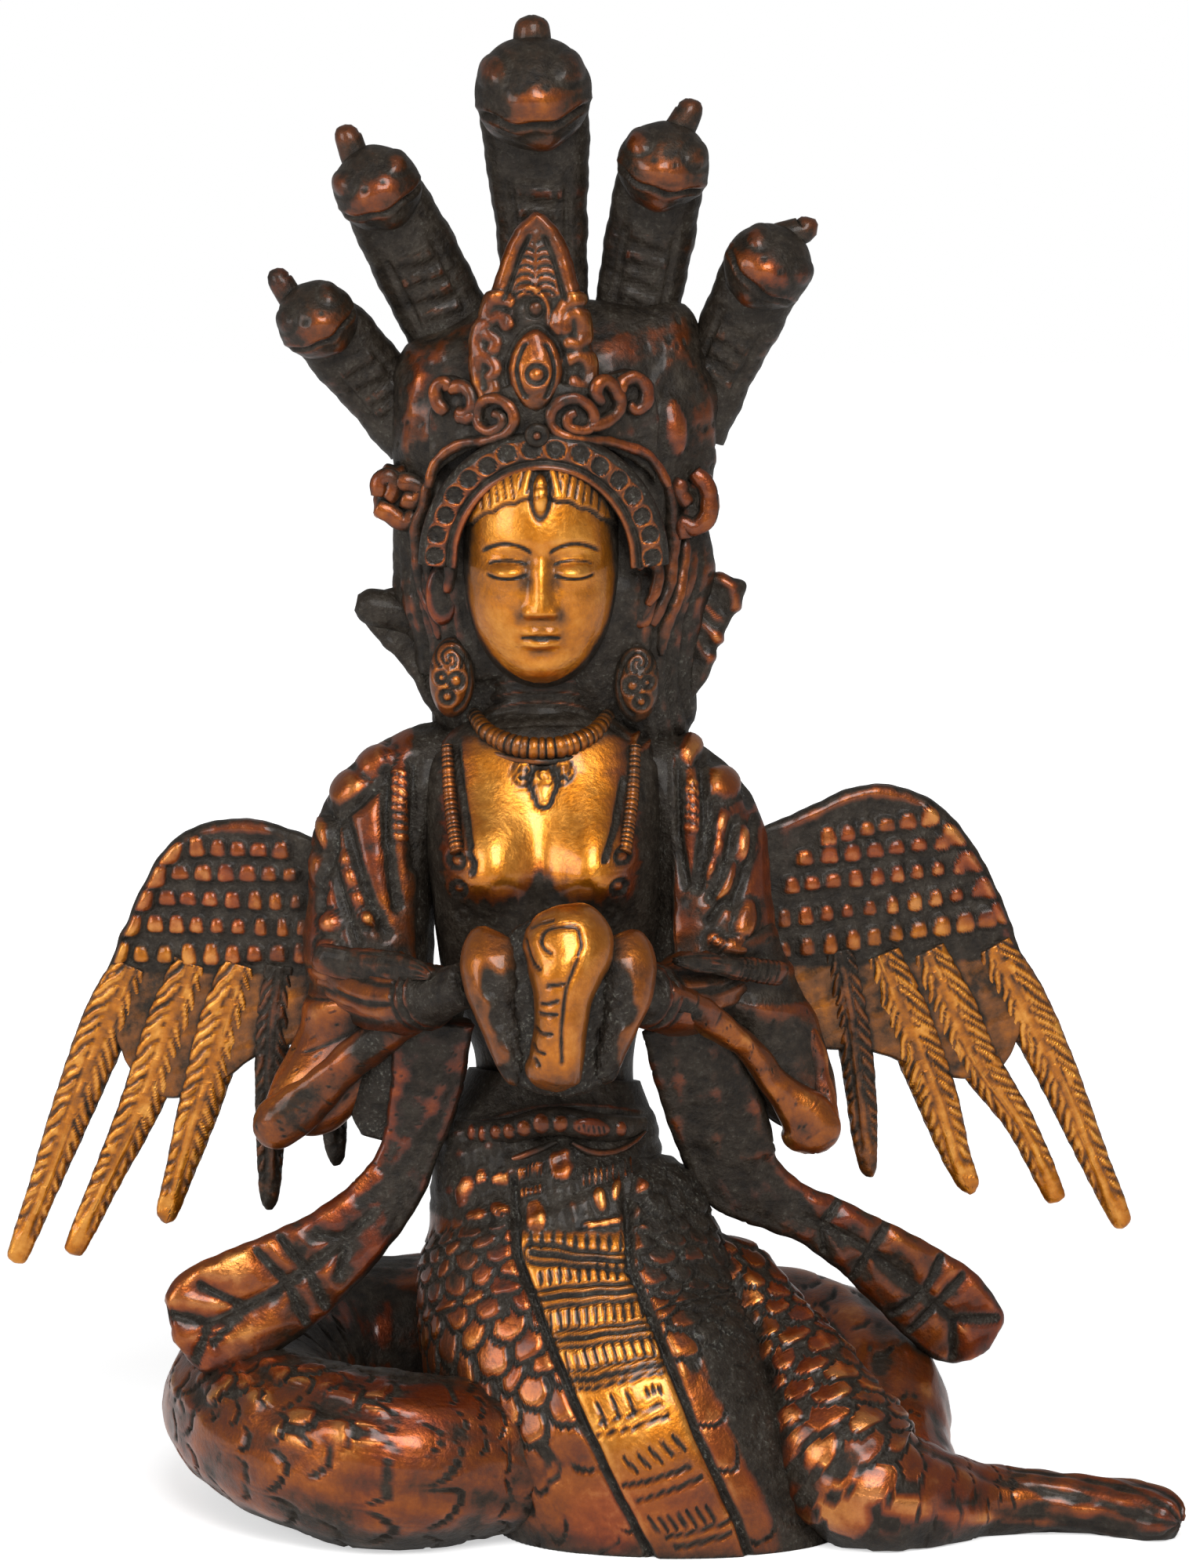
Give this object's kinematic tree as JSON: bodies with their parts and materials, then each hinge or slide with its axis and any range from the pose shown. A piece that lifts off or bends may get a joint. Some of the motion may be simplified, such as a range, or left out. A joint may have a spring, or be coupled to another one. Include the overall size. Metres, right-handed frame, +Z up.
{
  "type": "naga kanya figure",
  "caption": "Cast brass serpent maiden with winged back, conch and hood of serpents, standing on her own coiled tail.",
  "frame": {"origin": "on the ground under the middle of the figure's bounding box", "axes": "+Z up, -Y the way the maiden faces, +X to the right of a person facing her"},
  "size_m": [0.2486, 0.1192, 0.315],
  "materials": {
    "patinated_brass": "satin"
  },
  "bodies": {
    "root": {"naga_kanya_figure": "patinated_brass"}
  },
  "joints": []
}
